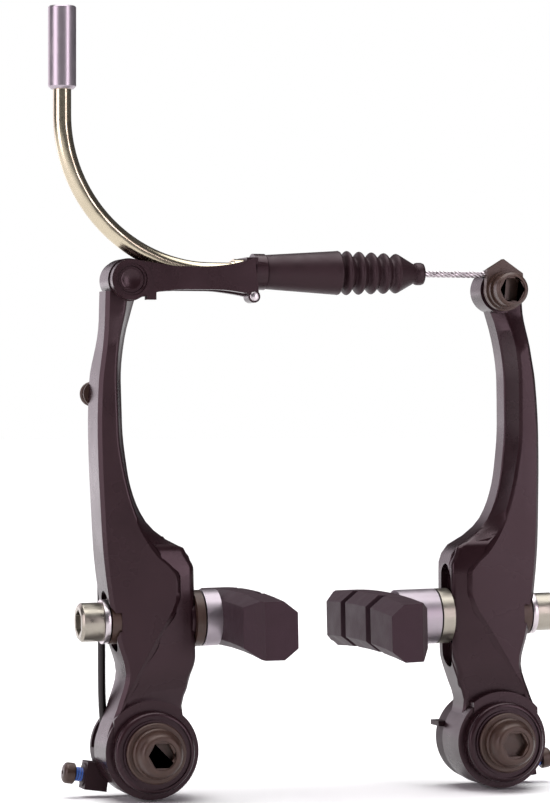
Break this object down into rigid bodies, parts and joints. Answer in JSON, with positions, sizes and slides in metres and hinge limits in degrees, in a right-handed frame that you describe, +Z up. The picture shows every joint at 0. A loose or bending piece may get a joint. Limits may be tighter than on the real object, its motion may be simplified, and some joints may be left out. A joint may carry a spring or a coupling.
{
  "type": "linear-pull bicycle brake",
  "caption": "Linear-pull rim brake with two black arms, curved rubber shoes, a link, a bent guide pipe with a bellows boot, and the cable clamped across the top",
  "frame": {"origin": "midway between the two stud axes, in the plane of the arms' middle", "axes": "+X from the left arm to the right arm as seen from the front, +Y towards the bicycle frame along the studs, +Z up towards the cable"},
  "size_m": [0.1191, 0.0518, 0.1699],
  "materials": {
    "black_anodised": "satin",
    "black_plastic": "matte",
    "pad_rubber": "matte",
    "boot_rubber": "matte",
    "bright_steel": "satin",
    "black_steel": "satin",
    "spring_steel": "satin",
    "zinc_steel": "satin",
    "chromed_steel": "gloss",
    "white_plastic": "matte"
  },
  "bodies": {
    "mounting": {"left_pivot_bushing": "bright_steel", "left_pivot_bolt": "black_steel", "left_pivot_washer": "black_steel", "left_spring_housing": "black_plastic", "left_spring": "spring_steel", "left_spring_pin": "bright_steel", "right_pivot_bushing": "bright_steel", "right_pivot_bolt": "black_steel", "right_pivot_washer": "black_steel", "right_spring_housing": "black_plastic", "right_spring": "spring_steel", "right_spring_pin": "bright_steel"},
    "left_arm": {"left_arm": "black_anodised", "left_spring_stop": "black_steel"},
    "right_arm": {"right_arm": "black_anodised", "right_spring_stop": "black_steel", "anchor_bolt": "black_steel", "clamp_plate": "black_steel"},
    "link": {"link": "black_anodised", "link_pin": "black_anodised"},
    "guide_pipe": {"guide_pipe": "chromed_steel", "pipe_ferrule": "bright_steel", "pipe_nose": "chromed_steel", "pipe_liner": "white_plastic", "cable_boot": "boot_rubber"},
    "cable": {"inner_cable": "bright_steel"},
    "left_shoe": {"left_shoe": "pad_rubber", "left_shoe_stud": "bright_steel", "left_inner_convex_washer": "bright_steel", "left_inner_cup_washer": "black_steel", "left_outer_convex_washer": "bright_steel", "left_outer_cup_washer": "black_steel", "left_shoe_nut": "zinc_steel"},
    "right_shoe": {"right_shoe": "pad_rubber", "right_shoe_stud": "bright_steel", "right_inner_convex_washer": "bright_steel", "right_inner_cup_washer": "zinc_steel", "right_outer_convex_washer": "bright_steel", "right_outer_cup_washer": "black_steel", "right_shoe_nut": "zinc_steel"},
    "left_tension_screw": {"left_tension_screw": "black_steel"},
    "right_tension_screw": {"right_tension_screw": "black_steel"}
  },
  "joints": [
    {"name": "left_arm_swing", "type": "hinge", "parent": "mounting", "child": "left_arm", "pos_m": [-0.04, 0, 0], "axis": [0, 1, 0], "range_deg": [-6, 3], "stiffness_Nm_per_rad": 1, "deforming": ["left_spring"]},
    {"name": "right_arm_swing", "type": "hinge", "parent": "mounting", "child": "right_arm", "pos_m": [0.04, 0, 0], "axis": [0, 1, 0], "range_deg": [-3, 6], "stiffness_Nm_per_rad": 1, "deforming": ["right_spring"]},
    {"name": "link_swing", "type": "hinge", "parent": "left_arm", "child": "link", "pos_m": [-0.04532, -0.0025, 0.10121], "axis": [0, 1, 0], "range_deg": [-3, 6]},
    {"name": "guide_pipe_swivel", "type": "hinge", "parent": "link", "child": "guide_pipe", "pos_m": [-0.01432, -0.0025, 0.10335], "axis": [1, 0, 0], "range_deg": [-15, 15]},
    {"name": "cable_pull", "type": "slide", "parent": "guide_pipe", "child": "cable", "axis": [1, 0, 0], "range_m": [-0.0107, 0.0212], "deforming": ["inner_cable"]},
    {"name": "left_shoe_turn", "type": "hinge", "parent": "left_arm", "child": "left_shoe", "pos_m": [-0.04059, 0, 0.02799], "axis": [0.9998, 0, 0.0209], "range_deg": [-12, 12]},
    {"name": "right_shoe_turn", "type": "hinge", "parent": "right_arm", "child": "right_shoe", "pos_m": [0.03941, 0, 0.02799], "axis": [0.9998, 0, 0.0209], "range_deg": [-12, 12]},
    {"name": "left_tension_turn", "type": "slide", "parent": "mounting", "child": "left_tension_screw", "axis": [-0.9903, 0, 0.1392], "range_m": [-0.001, 0.002]},
    {"name": "right_tension_turn", "type": "slide", "parent": "mounting", "child": "right_tension_screw", "axis": [0.9903, 0, 0.1392], "range_m": [-0.001, 0.002]}
  ],
  "couplings": [
    {"joint": "right_arm_swing", "follows": "left_arm_swing", "ratio": -1},
    {"joint": "link_swing", "follows": "left_arm_swing", "ratio": -1},
    {"joint": "cable_pull", "follows": "left_arm_swing", "m_per_rad": -0.20116}
  ]
}
